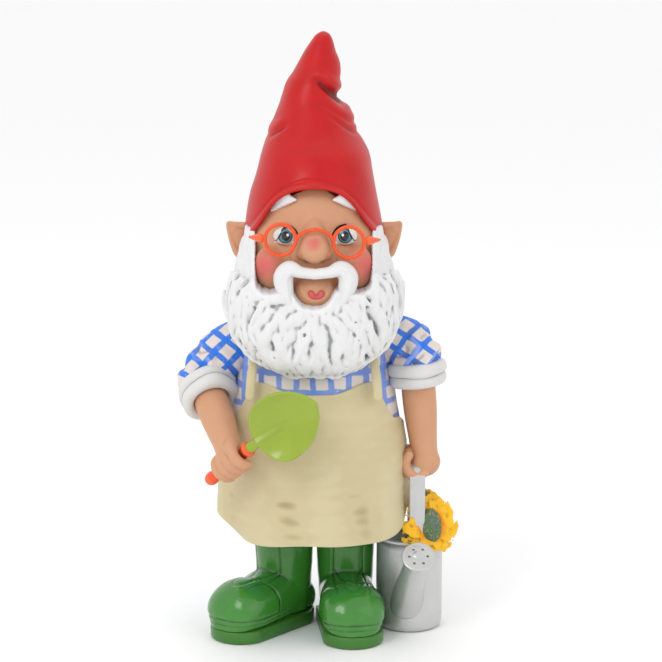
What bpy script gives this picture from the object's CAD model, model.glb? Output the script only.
"""Looks of a cast and hand-painted garden gnome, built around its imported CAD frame.

Shapes are worked in millimetres in the figure's own frame: the origin is on the ground in
the middle of the stance, the gnome faces -Y and its left hand is on +X. A finished piece is
scaled to metres and moved onto the CAD frame.
"""
import logging
import math
import random
from dataclasses import dataclass, field
from enum import Enum
from typing import Callable, Iterable, Sequence

import bmesh
import bpy
import numpy as np
from mathutils import Matrix, Vector, noise

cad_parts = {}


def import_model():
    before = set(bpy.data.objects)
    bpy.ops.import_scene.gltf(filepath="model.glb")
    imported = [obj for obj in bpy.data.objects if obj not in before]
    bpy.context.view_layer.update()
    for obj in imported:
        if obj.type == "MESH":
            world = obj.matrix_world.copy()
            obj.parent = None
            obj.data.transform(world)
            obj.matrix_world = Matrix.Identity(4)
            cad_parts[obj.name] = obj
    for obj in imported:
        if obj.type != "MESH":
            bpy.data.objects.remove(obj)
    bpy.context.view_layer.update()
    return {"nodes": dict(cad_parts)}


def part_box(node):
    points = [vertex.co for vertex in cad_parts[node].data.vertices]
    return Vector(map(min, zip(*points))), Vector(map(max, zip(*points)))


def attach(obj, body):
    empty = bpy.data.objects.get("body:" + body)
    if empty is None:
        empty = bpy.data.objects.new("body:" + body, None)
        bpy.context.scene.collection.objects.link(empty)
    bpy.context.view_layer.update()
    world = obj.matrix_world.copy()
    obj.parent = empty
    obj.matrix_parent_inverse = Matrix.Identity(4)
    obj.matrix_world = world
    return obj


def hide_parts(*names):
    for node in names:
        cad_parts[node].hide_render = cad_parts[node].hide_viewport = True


LOG = logging.getLogger("garden_gnome")
MM = 0.001
THINNEST = 0.05
WELD = 0.01
Path = Sequence[Vector]
Colour = tuple[float, float, float]


class Side(Enum):
    """The gnome's own sides, with the sign of X on each."""

    RIGHT = -1
    LEFT = 1

    @property
    def word(self) -> str:
        """The side as CAD node names spell it."""
        return self.name.lower()


# ----------------------------------------------------------------------------- small maths

def smooth(value: float, low: float = 0.0, high: float = 1.0) -> float:
    """Ease from 0 at low to 1 at high.

    Args:
        value: What is tested.
        low: Where the step starts.
        high: Where it ends.

    Returns:
        A number from 0 to 1.
    """
    share = min(max((value - low) / (high - low), 0.0), 1.0)
    return share * share * (3.0 - 2.0 * share)


def bump(value: float, centre: float, half_width: float) -> float:
    """A soft hump that is 1 at its centre and 0 past its half width."""
    return 1.0 - smooth(abs(value - centre), 0.0, half_width)


def table(rows: Sequence[Sequence[float]], key: float) -> list[float]:
    """Read a smooth curve through rows of (key, value, value, ...).

    Args:
        rows: Rows in rising order of their first number.
        key: Where to read.

    Returns:
        The values there, with soft tangents between rows.
    """
    key = min(max(key, rows[0][0]), rows[-1][0])
    last = len(rows) - 1
    index = next(i for i in range(last) if key <= rows[i + 1][0])
    near, far = rows[index], rows[index + 1]
    before, after = rows[max(index - 1, 0)], rows[min(index + 2, last)]
    gap = far[0] - near[0]
    t = (key - near[0]) / gap
    values = []
    for column in range(1, len(near)):
        start = (far[column] - before[column]) / (far[0] - before[0]) * gap
        end = (after[column] - near[column]) / (after[0] - near[0]) * gap
        values.append((2 * t**3 - 3 * t**2 + 1) * near[column] + (t**3 - 2 * t**2 + t) * start
                      + (3 * t**2 - 2 * t**3) * far[column] + (t**3 - t**2) * end)
    return values


def along(points: Path, radii: Sequence[float], steps: int) -> tuple[list[Vector], list[float]]:
    """Draw a smooth line through points.

    Args:
        points: What it passes through.
        radii: The radius at each point.
        steps: How many stretches the line is cut into.

    Returns:
        The line's points and their radii.
    """
    rows = [(float(i), p.x, p.y, p.z, r) for i, (p, r) in enumerate(zip(points, radii))]
    places, sizes = [], []
    for step in range(steps + 1):
        x, y, z, radius = table(rows, (len(points) - 1) * step / steps)
        places.append(Vector((x, y, z)))
        sizes.append(max(radius, THINNEST))
    return places, sizes


def turbulence(point: Vector, size: float, seed: float = 0.0) -> float:
    """Soft noise from about -1 to 1, with lumps of about this size in millimetres."""
    return noise.noise(point / size + Vector((seed, -seed, 2 * seed)))


# ----------------------------------------------------------------------------- the site

@dataclass
class Site:
    """Where the CAD frame stands."""

    origin: Vector = field(init=False)

    def __post_init__(self) -> None:
        """Measure the figure's axis from the neck dowel, which is round and central."""
        low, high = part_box("neck_dowel")
        self.origin = Vector(((low.x + high.x) / 2, (low.y + high.y) / 2, 0.0))

    def box(self, node: str) -> tuple[Vector, Vector]:
        """A CAD node's lowest and highest corner in figure millimetres."""
        low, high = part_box(node)
        return (low - self.origin) / MM, (high - self.origin) / MM

    def centre(self, node: str) -> Vector:
        """The middle of a CAD node's box in figure millimetres."""
        low, high = self.box(node)
        return (low + high) / 2

    def place(self) -> Matrix:
        """Figure millimetres to frame metres."""
        return Matrix.Translation(self.origin) @ Matrix.Scale(MM, 4)


# ----------------------------------------------------------------------------- mesh tools

class Clay:
    """A bmesh in figure millimetres with the few moves that the castings need."""

    def __init__(self) -> None:
        """Start with nothing."""
        self.bm = bmesh.new()

    def ball(self, centre: Vector, radii: Sequence[float], turn: Matrix | None = None,
             detail: int = 4) -> list[bmesh.types.BMVert]:
        """Add a stretched ball.

        Args:
            centre: Its middle.
            radii: Half sizes along its own axes.
            turn: Its rotation, if any.
            detail: Subdivisions of the icosphere.

        Returns:
            The new vertices.
        """
        turn = turn or Matrix.Identity(4)
        matrix = Matrix.Translation(centre) @ turn.to_4x4() @ Matrix.Diagonal((*radii, 1.0))
        return bmesh.ops.create_icosphere(self.bm, subdivisions=detail, radius=1.0,
                                          matrix=matrix)["verts"]

    def rings(self, rings: Sequence[Sequence[Vector]], cap: bool = True) -> None:
        """Bridge a run of closed rings into a skin.

        Args:
            rings: Each ring's points, all of one count and in one order.
            cap: Whether both ends are closed.
        """
        skin = bmesh.new()
        loops = []
        for index, points in enumerate(rings):
            ends = cap and index in (0, len(rings) - 1)
            made = bmesh.ops.create_circle(skin, cap_ends=ends, segments=len(points),
                                           radius=1.0)["verts"]
            for vert, point in zip(made, points):
                vert.co = point
            loops.append(list({edge for vert in made for edge in vert.link_edges}))
        for near, far in zip(loops, loops[1:]):
            bmesh.ops.bridge_loops(skin, edges=near + far)
        mesh = bpy.data.meshes.new("skin")
        skin.to_mesh(mesh)
        skin.free()
        self.bm.from_mesh(mesh)
        bpy.data.meshes.remove(mesh)

    def tube(self, points: Path, radii: Sequence[float], flat: float = 1.0,
             hint: Vector = Vector((0, 1, 0)), sides: int = 10, round_ends: bool = True) -> None:
        """Add a soft tube.

        Args:
            points: Its middle line.
            radii: Its radius at each point.
            flat: Its width along the hint over its other width.
            hint: The way the flat side looks.
            sides: Corners of its section.
            round_ends: Whether each end has a dome.
        """
        points, radii = list(points), list(radii)
        if round_ends:
            start = (points[0] - points[1]).normalized()
            end = (points[-1] - points[-2]).normalized()
            dome = (0.45, 0.8, 0.97)
            first = [(points[0] + start * radii[0] * rise, radii[0] * math.sqrt(1 - rise**2))
                     for rise in reversed(dome)]
            last = [(points[-1] + end * radii[-1] * rise, radii[-1] * math.sqrt(1 - rise**2))
                    for rise in dome]
            points = [p for p, _ in first] + points + [p for p, _ in last]
            radii = [r for _, r in first] + radii + [r for _, r in last]
        rings = []
        for index, (point, radius) in enumerate(zip(points, radii)):
            ahead = points[min(index + 1, len(points) - 1)] - points[max(index - 1, 0)]
            axis = ahead.normalized()
            side = (hint - axis * hint.dot(axis)).normalized()
            other = axis.cross(side)
            rings.append([point + side * (radius * flat * math.cos(math.tau * k / sides))
                          + other * (radius * math.sin(math.tau * k / sides))
                          for k in range(sides)])
        self.rings(rings)

    def loft(self, rows: Sequence[Sequence[float]], levels: int, sides: int = 64,
             fullness: float = 1.0) -> None:
        """Add a skin through level egg sections.

        Args:
            rows: (z, half width, front y, back y, centre x) from bottom to top.
            levels: How many rings are drawn.
            sides: Corners of each ring.
            fullness: How square the sections are: 1 is an ellipse.
        """
        rings = []
        for step in range(levels + 1):
            z = rows[0][0] + (rows[-1][0] - rows[0][0]) * step / levels
            wide, front, back, middle = table(rows, z)
            ring = []
            for k in range(sides):
                angle = math.tau * k / sides
                swell = 1 + (fullness - 1) * abs(math.sin(2 * angle))
                ring.append(Vector((middle + wide * swell * math.cos(angle), (front + back) / 2
                                    + (back - front) / 2 * swell * math.sin(angle), z)))
            rings.append(ring)
        self.rings(rings)

    def lathe(self, base: Vector, axis: Vector, profile: Iterable[tuple[float, float]],
              sides: int = 48) -> None:
        """Add a turned shape.

        Args:
            base: Where heights start.
            axis: What it is turned round.
            profile: Its (height, radius) points.
            sides: Corners of each ring.
        """
        turn = axis.to_track_quat("Z", "Y").to_matrix()
        self.rings([[base + turn @ Vector((radius * math.cos(math.tau * k / sides),
                                           radius * math.sin(math.tau * k / sides), height))
                     for k in range(sides)] for height, radius in profile])

    def sculpt(self, move: Callable[[Vector, Vector], Vector]) -> None:
        """Move each vertex.

        Args:
            move: Gives the move from the vertex's place and normal.
        """
        self.bm.normal_update()
        moves = [move(v.co.copy(), v.normal.copy()) for v in self.bm.verts]
        for vert, step in zip(self.bm.verts, moves):
            vert.co += step

    def relax(self, times: int, factor: float = 0.5) -> None:
        """Smooth every vertex.

        Args:
            times: Rounds.
            factor: How far each vertex goes towards its neighbours' middle in a round.
        """
        for _ in range(times):
            bmesh.ops.smooth_vert(self.bm, verts=self.bm.verts, factor=factor,
                                  use_axis_x=True, use_axis_y=True, use_axis_z=True)

    def recast(self, voxel: float, relax: int = 2) -> None:
        """Turn all that overlaps into one closed skin, as one casting.

        Args:
            voxel: The grain of the new skin in millimetres.
            relax: Smoothing rounds after it.
        """
        mesh = bpy.data.meshes.new("recast")
        self.bm.normal_update()
        bmesh.ops.recalc_face_normals(self.bm, faces=self.bm.faces)
        self.bm.to_mesh(mesh)
        piece = bpy.data.objects.new("recast", mesh)
        bpy.context.scene.collection.objects.link(piece)
        remesh = piece.modifiers.new("Remesh", "REMESH")
        remesh.mode = "VOXEL"
        remesh.voxel_size = voxel
        view = bpy.context.evaluated_depsgraph_get()
        result = bpy.data.meshes.new_from_object(piece.evaluated_get(view))
        self.bm.free()
        self.bm = bmesh.new()
        self.bm.from_mesh(result)
        bpy.data.objects.remove(piece)
        for spent in (mesh, result):
            bpy.data.meshes.remove(spent)
        self.relax(relax)

    def keep_largest(self) -> None:
        """Drop loose crumbs."""
        unseen = set(self.bm.verts)
        islands = []
        while unseen:
            stack, island = [unseen.pop()], []
            while stack:
                vert = stack.pop()
                island.append(vert)
                for edge in vert.link_edges:
                    other = edge.other_vert(vert)
                    if other in unseen:
                        unseen.remove(other)
                        stack.append(other)
            islands.append(island)
        islands.sort(key=len, reverse=True)
        for island in islands[1:]:
            bmesh.ops.delete(self.bm, geom=island, context="VERTS")


@dataclass
class Bench:
    """Takes finished clay, gives it its paint, and sets it on the frame."""

    site: Site
    reach: int = 12

    def cast(self, clay: Clay, name: str, paint: "Finish", *nodes: str,
             relief: float = 0.6) -> bpy.types.Object:
        """Make a piece.

        Args:
            clay: Its shape, which is used up.
            name: The piece's name.
            paint: Its finish.
            nodes: The CAD nodes it stands for.
            relief: Millimetres of hollow that count as deep in the crevice mask.

        Returns:
            The placed object.
        """
        mesh = bpy.data.meshes.new(name)
        clay.bm.normal_update()
        bmesh.ops.recalc_face_normals(clay.bm, faces=clay.bm.faces)
        clay.bm.to_mesh(mesh)
        clay.bm.free()
        mesh.shade_smooth()
        self.mark_relief(mesh, relief)
        mesh.transform(self.site.place())
        piece = bpy.data.objects.new(name, mesh)
        bpy.context.scene.collection.objects.link(piece)
        piece.data.materials.append(paint.material(self.site))
        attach(piece, "root")
        if nodes:
            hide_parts(*nodes)
        LOG.info("%s: %d faces", name, len(mesh.polygons))
        return piece

    def mark_relief(self, mesh: bpy.types.Mesh, depth: float) -> None:
        """Store how deep each vertex lies below its surroundings, for crevice and edge paint.

        Args:
            mesh: The mesh in millimetres.
            depth: The depth in millimetres that counts as 1.
        """
        count = len(mesh.vertices)
        places = np.empty(count * 3)
        mesh.vertices.foreach_get("co", places)
        places = places.reshape(-1, 3)
        ends = np.empty(len(mesh.edges) * 2, dtype=np.int64)
        mesh.edges.foreach_get("vertices", ends)
        ends = ends.reshape(-1, 2)
        normals = np.empty(count * 3)
        mesh.vertex_normals.foreach_get("vector", normals)
        normals = normals.reshape(-1, 3)
        soft = places.copy()
        neighbours = np.zeros(count)
        np.add.at(neighbours, ends[:, 0], 1)
        np.add.at(neighbours, ends[:, 1], 1)
        neighbours = np.maximum(neighbours, 1)[:, None]
        for _ in range(self.reach):
            total = np.zeros_like(soft)
            np.add.at(total, ends[:, 0], soft[ends[:, 1]])
            np.add.at(total, ends[:, 1], soft[ends[:, 0]])
            soft = total / neighbours
        hollow = ((soft - places) * normals).sum(1) / depth
        layer = mesh.attributes.new("relief", "FLOAT", "POINT")
        layer.data.foreach_set("value", np.clip(hollow, -1, 1).astype(np.float32))


# ----------------------------------------------------------------------------- shader maths

class Value:
    """A number socket that Python's operators work on."""

    def __init__(self, graph: "Graph", socket: bpy.types.NodeSocket) -> None:
        """Wrap a socket of a graph."""
        self.graph = graph
        self.socket = socket

    def __add__(self, other: "Value | float") -> "Value":
        """Sum."""
        return self.graph.math("ADD", self, other)

    __radd__ = __add__

    def __mul__(self, other: "Value | float") -> "Value":
        """Product."""
        return self.graph.math("MULTIPLY", self, other)

    __rmul__ = __mul__

    def __sub__(self, other: "Value | float") -> "Value":
        """Difference."""
        return self.graph.math("SUBTRACT", self, other)

    def __rsub__(self, other: "Value | float") -> "Value":
        """Difference from a number."""
        return self.graph.math("SUBTRACT", other, self)

    def __truediv__(self, other: "Value | float") -> "Value":
        """Quotient."""
        return self.graph.math("DIVIDE", self, other)

    def __neg__(self) -> "Value":
        """Opposite."""
        return self.graph.math("MULTIPLY", self, -1.0)

    def at_most(self, other: "Value | float") -> "Value":
        """The smaller of two."""
        return self.graph.math("MINIMUM", self, other)

    def at_least(self, other: "Value | float") -> "Value":
        """The larger of two."""
        return self.graph.math("MAXIMUM", self, other)

    def size(self) -> "Value":
        """Without its sign."""
        return self.graph.math("ABSOLUTE", self)

    def step(self, low: float, high: float) -> "Value":
        """Ease from 0 to 1, or back where low is above high.

        Args:
            low: Where the result is 0.
            high: Where it is 1.

        Returns:
            A number from 0 to 1.
        """
        flip = low > high
        if flip:
            low, high = high, low
        node = self.graph.node("ShaderNodeMapRange", {"interpolation_type": "SMOOTHSTEP"},
                               {"Value": self, "From Min": low, "From Max": high})
        value = Value(self.graph, node.outputs["Result"])
        return 1.0 - value if flip else value


class Graph:
    """One material's node tree."""

    def __init__(self, name: str) -> None:
        """Start a material with its shader and output.

        Args:
            name: The material's name.
        """
        self.made = bpy.data.materials.new(name)
        self.made.use_nodes = True
        self.tree = self.made.node_tree
        self.tree.nodes.clear()
        self.shader = self.tree.nodes.new("ShaderNodeBsdfPrincipled")
        output = self.tree.nodes.new("ShaderNodeOutputMaterial")
        self.tree.links.new(self.shader.outputs["BSDF"], output.inputs["Surface"])

    def node(self, kind: str, settings: dict | None = None,
             inputs: dict | None = None) -> bpy.types.Node:
        """Add a node.

        Args:
            kind: Its type.
            settings: Its properties, set first.
            inputs: Values or links for its sockets, by name or number.

        Returns:
            The node.
        """
        node = self.tree.nodes.new(kind)
        for key, value in (settings or {}).items():
            setattr(node, key, value)
        for key, value in (inputs or {}).items():
            self.feed(node.inputs[key], value)
        return node

    def feed(self, socket: bpy.types.NodeSocket, value: object) -> None:
        """Link or set one socket.

        Args:
            socket: The input.
            value: A Value, a socket, a colour or a plain number.
        """
        if isinstance(value, Value):
            value = value.socket
        if isinstance(value, bpy.types.NodeSocket):
            self.tree.links.new(value, socket)
        elif isinstance(value, tuple) and len(value) == 3 and socket.type == "RGBA":
            socket.default_value = (*value, 1.0)
        else:
            socket.default_value = value

    def wave(self, value: Value, pitch: float, width: float) -> Value:
        """Repeated soft lines: 1 on each line, 0 between them."""
        share = self.math("PINGPONG", value, pitch / 2)
        return share.step(width / 2 + 0.25, width / 2 - 0.25)

    def math(self, operation: str, *terms: "Value | float") -> Value:
        """A Math node."""
        node = self.node("ShaderNodeMath", {"operation": operation},
                         dict(enumerate(terms)))
        return Value(self, node.outputs[0])

    def mix(self, share: "Value | float", low: object, high: object,
            blend: str = "MIX") -> bpy.types.NodeSocket:
        """Mix two colours.

        Args:
            share: How much of the second is used.
            low: The first colour.
            high: The second colour.
            blend: How they are blended.

        Returns:
            The mixed colour.
        """
        node = self.node("ShaderNodeMix", {"data_type": "RGBA", "blend_type": blend},
                         {0: share, 6: low, 7: high})
        return node.outputs[2]

    def vector(self, operation: str, *terms: object) -> bpy.types.NodeSocket:
        """A Vector Math node."""
        node = self.node("ShaderNodeVectorMath", {"operation": operation},
                         dict(enumerate(terms)))
        return node.outputs[0]

    def figure(self, origin: Vector) -> bpy.types.NodeSocket:
        """Object coordinates turned into figure millimetres."""
        place = self.node("ShaderNodeTexCoord").outputs["Object"]
        from_axis = self.vector("SUBTRACT", place, tuple(origin))
        return self.vector("MULTIPLY", from_axis, (1 / MM,) * 3)

    def reach(self, place: bpy.types.NodeSocket, point: Vector) -> Value:
        """Distance from a point."""
        node = self.node("ShaderNodeVectorMath", {"operation": "DISTANCE"},
                         {0: place, 1: tuple(point)})
        return Value(self, node.outputs["Value"])

    def run(self, place: bpy.types.NodeSocket, axis: Vector) -> Value:
        """Distance along an axis."""
        node = self.node("ShaderNodeVectorMath", {"operation": "DOT_PRODUCT"},
                         {0: place, 1: tuple(axis)})
        return Value(self, node.outputs["Value"])

    def split(self, vector: bpy.types.NodeSocket) -> tuple[Value, Value, Value]:
        """A vector's three numbers."""
        node = self.node("ShaderNodeSeparateXYZ", {}, {0: vector})
        return tuple(Value(self, node.outputs[i]) for i in range(3))

    def noise(self, place: object, scale: float, detail: float = 3.0, rough: float = 0.5,
              warp: float = 0.0) -> Value:
        """Soft noise.

        Args:
            place: Where it is read.
            scale: Lumps to a millimetre.
            detail: How many finer layers are added.
            rough: How strong those layers are.
            warp: How far it is distorted.

        Returns:
            A number from 0 to 1.
        """
        node = self.node("ShaderNodeTexNoise", {}, {"Vector": place, "Scale": scale,
                         "Detail": detail, "Roughness": rough, "Distortion": warp})
        return Value(self, node.outputs[0])

    def attribute(self, name: str) -> Value:
        """A number stored on the mesh."""
        node = self.node("ShaderNodeAttribute", {"attribute_name": name})
        return Value(self, node.outputs["Fac"])

    def dot(self, x: Value, z: Value, centre: tuple[float, float], radii: tuple[float, float],
            edge: float = 0.12) -> Value:
        """A filled painted oval.

        Args:
            x: Place across.
            z: Place up.
            centre: The oval's middle.
            radii: Its half sizes.
            edge: Half the width of its soft edge, as a share of its size.

        Returns:
            1 inside, 0 outside.
        """
        across = (x - centre[0]) / radii[0]
        up = (z - centre[1]) / radii[1]
        return (across * across + up * up).step(1.0 + edge, 1.0 - edge)

    def stroke(self, x: Value, z: Value, start: tuple[float, float], end: tuple[float, float],
               bend: float, width: tuple[float, float]) -> Value:
        """A painted brush stroke between two points.

        Args:
            x: Place across.
            z: Place up.
            start: Where it starts.
            end: Where it ends.
            bend: How far its middle is pushed to its left.
            width: Its half width at the start and at the end.

        Returns:
            1 on the stroke, 0 off it.
        """
        run, rise = end[0] - start[0], end[1] - start[1]
        length = math.hypot(run, rise)
        ahead = ((x - start[0]) * run + (z - start[1]) * rise) / (length * length)
        side = ((z - start[1]) * run - (x - start[0]) * rise) / length
        ahead_safe = ahead.at_least(0.0).at_most(1.0)
        off = (side - ahead_safe * (1.0 - ahead_safe) * (4.0 * bend)).size()
        half = ahead_safe * (width[1] - width[0]) + width[0]
        inside = (off / half).step(1.25, 0.75)
        return inside * ahead.step(-0.04, 0.04) * ahead.step(1.04, 0.96)


# ----------------------------------------------------------------------------- finishes

@dataclass(frozen=True)
class Finish:
    """Brushed enamel over a resin casting, darker in its hollows and worn on its edges."""

    name: str
    slot: str
    colour: Colour
    hollow: Colour
    edge: Colour
    roughness: float = 0.42
    coat: float = 0.0
    variation: float = 0.10
    hollow_strength: float = 0.8
    edge_strength: float = 0.25
    grain: float = 0.05
    brush: float = 0.5
    specular: float = 0.28

    def material(self, site: Site) -> bpy.types.Material:
        """The material, made once.

        Args:
            site: The frame's places.

        Returns:
            The finished material.
        """
        made = bpy.data.materials.get(self.name)
        if made:
            return made
        graph = Graph(self.name)
        place = graph.figure(site.origin)
        colour = self.base(graph, place)
        relief = graph.attribute("relief")
        uneven = graph.noise(place, 0.10, 4.0)
        fine = graph.noise(place, 1.3, 3.0)
        deep = (relief + (fine - 0.5) * 0.10).step(0.06, 0.75) * self.hollow_strength
        worn = (-relief + (uneven - 0.5) * 0.5).step(0.28, 0.9) * self.edge_strength
        tone = (uneven - 0.5) * (2.0 * self.variation) + (fine - 0.5) * self.variation + 1.0
        colour = graph.mix(1.0, colour, self.grey(graph, tone), "MULTIPLY")
        colour = graph.mix(deep, colour, self.hollow)
        colour = graph.mix(worn, colour, self.edge)
        graph.feed(graph.shader.inputs["Base Color"], colour)
        rough = (fine - 0.5) * 0.12 + deep * 0.18 + (uneven - 0.5) * 0.10 + self.roughness
        graph.feed(graph.shader.inputs["Roughness"], rough)
        self.height(graph, place)
        graph.shader.inputs["Coat Weight"].default_value = self.coat
        graph.shader.inputs["Coat Roughness"].default_value = 0.12
        graph.shader.inputs["Specular IOR Level"].default_value = self.specular
        self.extras(graph, place)
        return graph.made

    @staticmethod
    def grey(graph: Graph, tone: Value) -> bpy.types.NodeSocket:
        """A number as a grey colour."""
        node = graph.node("ShaderNodeCombineColor", {}, {0: tone, 1: tone, 2: tone})
        return node.outputs[0]

    def base(self, graph: Graph, place: bpy.types.NodeSocket) -> object:
        """The paint's own colour pattern. Plain unless a finish says otherwise."""
        return self.colour

    def height(self, graph: Graph, place: bpy.types.NodeSocket) -> None:
        """Brush marks and casting grain.

        Args:
            graph: The material's graph.
            place: Figure millimetres.
        """
        lumps = graph.noise(place, 0.45, 2.0)
        grain = graph.noise(place, 4.5, 2.0)
        level = lumps * self.brush + grain * self.grain
        node = graph.node("ShaderNodeBump", {}, {"Strength": 0.35, "Distance": 0.0006,
                                                 "Height": level})
        graph.feed(graph.shader.inputs["Normal"], node.outputs[0])

    def extras(self, graph: Graph, place: bpy.types.NodeSocket) -> None:
        """Anything else that a finish sets."""


def srgb(red: int, green: int, blue: int) -> Colour:
    """A mixed paint of 0 to 255 in each channel, as linear light."""
    return tuple((c / 255 / 12.92) if c < 11 else ((c / 255 + 0.055) / 1.055) ** 2.4
                 for c in (red, green, blue))


class Skin(Finish):
    """Skin enamel with airbrushed cheeks and nose, and the eyes' lids and lashes."""

    def base(self, graph: Graph, place: bpy.types.NodeSocket) -> object:
        """Blush by place on the face, and the paint round the eyes.

        Args:
            graph: The material's graph.
            place: Figure millimetres.

        Returns:
            The painted colour.
        """
        colour: object = self.colour
        for centre, radius, strength in ((Vector((-25.5, -43, 210.8)), 13.0, 0.95),
                                         (Vector((27.0, -42, 210.8)), 13.0, 0.95),
                                         (Vector((0, -57, 224.6)), 6.0, 0.75)):
            near = graph.reach(place, centre).step(radius, 1.0) * strength
            colour = graph.mix(near, colour, srgb(206, 92, 92))
        x, y, z = graph.split(place)
        front = y.step(-28.0, -34.0)
        for side in Side:
            for mask, tone in EyePaint.strokes(graph, x, z, side.value):
                colour = graph.mix(mask * front, colour, tone)
        return colour


class EyePaint(Finish):
    """Glossy painted eyes."""

    AXIS = 0.9
    SPREAD = 15.8
    LEVEL = 226.4

    @staticmethod
    def strokes(graph: Graph, x: Value, z: Value, sign: int) -> list[tuple[Value, Colour]]:
        """Masks and colours of one eye, in painting order.

        Args:
            graph: The material's graph.
            x: Place across the face.
            z: Place up the face.
            sign: The eye's side.

        Returns:
            What is painted, first to last.
        """
        axis = EyePaint.AXIS
        middle = axis + sign * EyePaint.SPREAD
        opening = graph.dot(x, z, (axis + sign * 16.3, 222.4), (5.6, 7.8), 0.05)
        corner = ((x - (axis + sign * 21.6)) * 7.2 + (z - 222.8) * (4.3 * sign)) * (-sign / 8.4)
        opening = opening * z.step(222.0, 222.5) * corner.step(-0.25, 0.25)
        iris = graph.dot(x, z, (middle, EyePaint.LEVEL), (3.9, 4.0), 0.06) * opening
        ring = graph.dot(x, z, (middle, EyePaint.LEVEL), (3.2, 3.4), 0.12)
        pupil = graph.dot(x, z, (middle - sign * 0.4, 226.5), (2.3, 2.6), 0.10)
        glint = graph.dot(x, z, (middle - sign * 1.3, 227.1), (0.7, 0.75), 0.15)
        outer = graph.stroke(x, z, (axis + sign * 21.6, 222.8), (axis + sign * 17.3, 230.0),
                             sign * 0.5, (0.25, 0.5))
        lash = graph.stroke(x, z, (axis + sign * 16.8, 231.6), (axis + sign * 8.6, 225.6),
                            sign * -2.0, (0.95, 0.40))
        crease = graph.stroke(x, z, (axis + sign * 17.4, 230.0), (axis + sign * 12.0, 229.6),
                              sign * -0.9, (0.5, 0.5))
        lower = graph.stroke(x, z, (axis + sign * 11.4, 221.3), (axis + sign * 19.6, 221.5),
                             sign * -0.5, (0.15, 0.4))
        return [(opening, srgb(206, 210, 212)), (lower, srgb(190, 112, 70)),
                (iris, srgb(28, 62, 74)), (ring * opening, srgb(70, 132, 142)),
                (pupil * opening, srgb(14, 16, 22)), (glint, srgb(250, 250, 250)),
                (outer, srgb(20, 18, 18)), (lash, srgb(22, 18, 24)),
                (crease, srgb(26, 22, 28))]

    def base(self, graph: Graph, place: bpy.types.NodeSocket) -> object:
        """Both eyes' paint on the eye castings.

        Args:
            graph: The material's graph.
            place: Figure millimetres.

        Returns:
            The painted colour.
        """
        x, _, z = graph.split(place)
        colour: object = self.colour
        for side in Side:
            for mask, tone in self.strokes(graph, x, z, side.value):
                colour = graph.mix(mask, colour, tone)
        return colour


@dataclass(frozen=True)
class Plaid(Finish):
    """Pale cloth with crossed brush lines."""

    first: tuple[float, float, float] = (0.0, 0.0, 1.0)
    second: tuple[float, float, float] = (1.0, 0.0, 0.0)
    line: Colour = (0.012, 0.17, 0.72)
    pitch: float = 9.4
    width: float = 3.1

    def base(self, graph: Graph, place: bpy.types.NodeSocket) -> object:
        """Lines both ways, drawn by a wavering hand.

        Args:
            graph: The material's graph.
            place: Figure millimetres.

        Returns:
            The painted colour.
        """
        waver = (graph.noise(place, 0.09, 2.0) - 0.5) * 3.0
        patchy = graph.noise(place, 0.5, 3.0).step(0.16, 0.40)
        colour: object = self.colour
        for axis in (self.first, self.second):
            place_on = graph.run(place, Vector(axis)) + waver
            drawn = graph.wave(place_on, self.pitch, self.width) * patchy * 0.96
            colour = graph.mix(drawn, colour, self.line)
        return colour


@dataclass(frozen=True)
class Radial(Finish):
    """A colour that changes with the distance from a point."""

    centre: tuple[float, float, float] = (0.0, 0.0, 0.0)
    inner: Colour = (1.0, 0.3, 0.0)
    start: float = 4.0
    stop: float = 14.0

    def base(self, graph: Graph, place: bpy.types.NodeSocket) -> object:
        """Inner colour near the centre, streaked outwards.

        Args:
            graph: The material's graph.
            place: Figure millimetres.

        Returns:
            The painted colour.
        """
        away = graph.reach(place, Vector(self.centre))
        streak = (graph.noise(place, 0.45, 3.0) - 0.5) * 7.0
        return graph.mix((away + streak).step(self.start, self.stop), self.inner, self.colour)


class Speckled(Finish):
    """Small dabs of other colours."""

    def base(self, graph: Graph, place: bpy.types.NodeSocket) -> object:
        """Green with dabs of grey-purple and yellow.

        Args:
            graph: The material's graph.
            place: Figure millimetres.

        Returns:
            The painted colour.
        """
        dabs = graph.noise(place, 0.75, 2.0)
        light = graph.noise(graph.vector("ADD", place, (31.0, 7.0, 3.0)), 0.9, 2.0)
        colour = graph.mix(dabs.step(0.50, 0.60), self.colour, srgb(104, 100, 118))
        return graph.mix(light.step(0.60, 0.68), colour, srgb(176, 160, 60))


class Metal(Finish):
    """Silver enamel with a brushed sheen."""

    def extras(self, graph: Graph, place: bpy.types.NodeSocket) -> None:
        """Metallic, dulled where the paint is thin."""
        thin = graph.noise(place, 0.35, 3.0)
        graph.feed(graph.shader.inputs["Metallic"], 0.62 - thin.step(0.55, 0.8) * 0.3)


class Hair(Finish):
    """White enamel over carved locks."""

    def height(self, graph: Graph, place: bpy.types.NodeSocket) -> None:
        """Fine strands that run down.

        Args:
            graph: The material's graph.
            place: Figure millimetres.
        """
        stretched = graph.vector("MULTIPLY", place, (1.0, 1.0, 0.22))
        strands = graph.noise(stretched, 1.6, 3.0, 0.6, 0.6)
        node = graph.node("ShaderNodeBump", {}, {"Strength": 0.5, "Distance": 0.0007,
                                                 "Height": strands})
        graph.feed(graph.shader.inputs["Normal"], node.outputs[0])


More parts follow.
